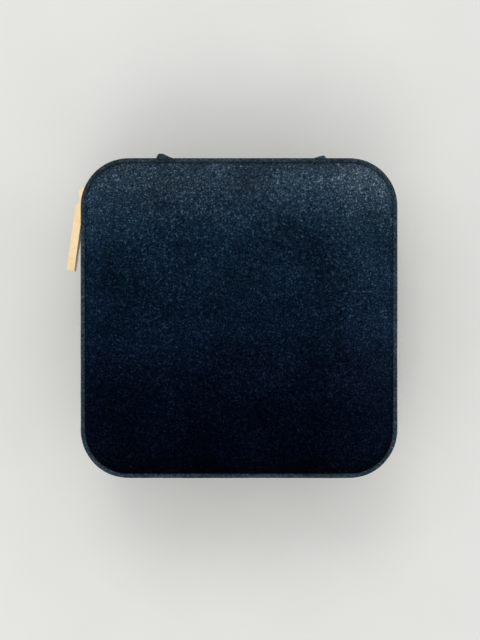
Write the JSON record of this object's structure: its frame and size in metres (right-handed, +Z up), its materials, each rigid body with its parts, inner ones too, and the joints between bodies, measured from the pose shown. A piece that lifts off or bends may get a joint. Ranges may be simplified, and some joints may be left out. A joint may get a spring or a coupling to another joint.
{
  "type": "travel jewelry case",
  "caption": "Square zip-round velvet jewelry case: hinged lid with a mirror, ring rolls and lift-out dividers inside, and a metal zip with a bar pull.",
  "frame": {"origin": "centre of the flat underside, midway between the side walls and midway between front and hinge side", "axes": "+Z up through the closed lid, +Y towards the hinge, -X towards the wall that the zip pull hangs on"},
  "size_m": [0.1075, 0.1026, 0.05],
  "materials": {
    "velvet": "dark navy velvet with a short pile",
    "piping": "dark navy velvet stretched over a cord",
    "cord": "twisted cotton cord inside the piping",
    "board": "grey board, covered on every side",
    "foam": "thin foam wadding",
    "roll_velvet": "navy velvet over soft rolls",
    "lining": "short navy velvet lining",
    "hook_tape": "hook-and-loop patch",
    "zip_tape": "woven zip tape",
    "zip_metal": "bright gold-coloured metal teeth",
    "gold": "polished gold-coloured metal",
    "mirror": "silvered glass"
  },
  "bodies": {
    "base": {"base_board": "board", "base_shell": "board", "base_cover": "velvet", "base_panel": "velvet", "base_piping": "piping", "base_piping_cord": "cord", "base_liner": "lining", "floor_pad": "roll_velvet", "hinge_panel_lower": "velvet", "hinge_lining_lower": "lining", "zip_tape_base": "zip_tape", "zip_teeth_base": "zip_metal", "zip_stops_base": "zip_metal", "center_divider": "lining", "ring_roll_1": "roll_velvet", "ring_roll_2": "roll_velvet", "ring_roll_3": "roll_velvet", "ring_roll_4": "roll_velvet", "ring_roll_5": "roll_velvet", "ring_roll_6": "roll_velvet", "ring_roll_7": "roll_velvet"},
    "lid": {"lid_shell": "board", "lid_cover": "velvet", "lid_padding": "foam", "lid_panel": "velvet", "lid_piping": "piping", "lid_piping_cord": "cord", "lid_liner": "lining", "lid_backing": "lining", "mirror": "mirror", "mirror_frame": "lining", "hinge_panel_upper": "velvet", "hinge_lining_upper": "lining", "zip_tape_lid": "zip_tape", "zip_teeth_lid": "zip_metal", "zip_stops_lid": "zip_metal"},
    "slider": {"zip_slider": "gold", "zip_bail": "gold"},
    "pull": {"zip_pull": "gold"},
    "divider_front": {"divider_front": "lining", "divider_hooks_front": "hook_tape"},
    "divider_rear": {"divider_rear": "lining", "divider_hooks_rear": "hook_tape"}
  },
  "joints": [
    {"name": "lid_hinge", "type": "hinge", "parent": "base", "child": "lid", "pos_m": [0, 0.0507, 0.026], "axis": [-1, 0, 0], "range_deg": [0, 165]},
    {"name": "zip_slide", "type": "slide", "parent": "base", "child": "slider", "axis": [0, -1, 0], "range_m": [0, 0.06], "deforming": ["zip_teeth_base", "zip_teeth_lid"]},
    {"name": "pull_swing", "type": "hinge", "parent": "slider", "child": "pull", "pos_m": [-0.0534, 0.0362, 0.026], "axis": [0, 0, -1], "range_deg": [-8, 150]},
    {"name": "divider_front_lift", "type": "slide", "parent": "base", "child": "divider_front", "axis": [0, 0, 1], "range_m": [0, 0.022]},
    {"name": "divider_rear_lift", "type": "slide", "parent": "base", "child": "divider_rear", "axis": [0, 0, 1], "range_m": [0, 0.022]}
  ]
}
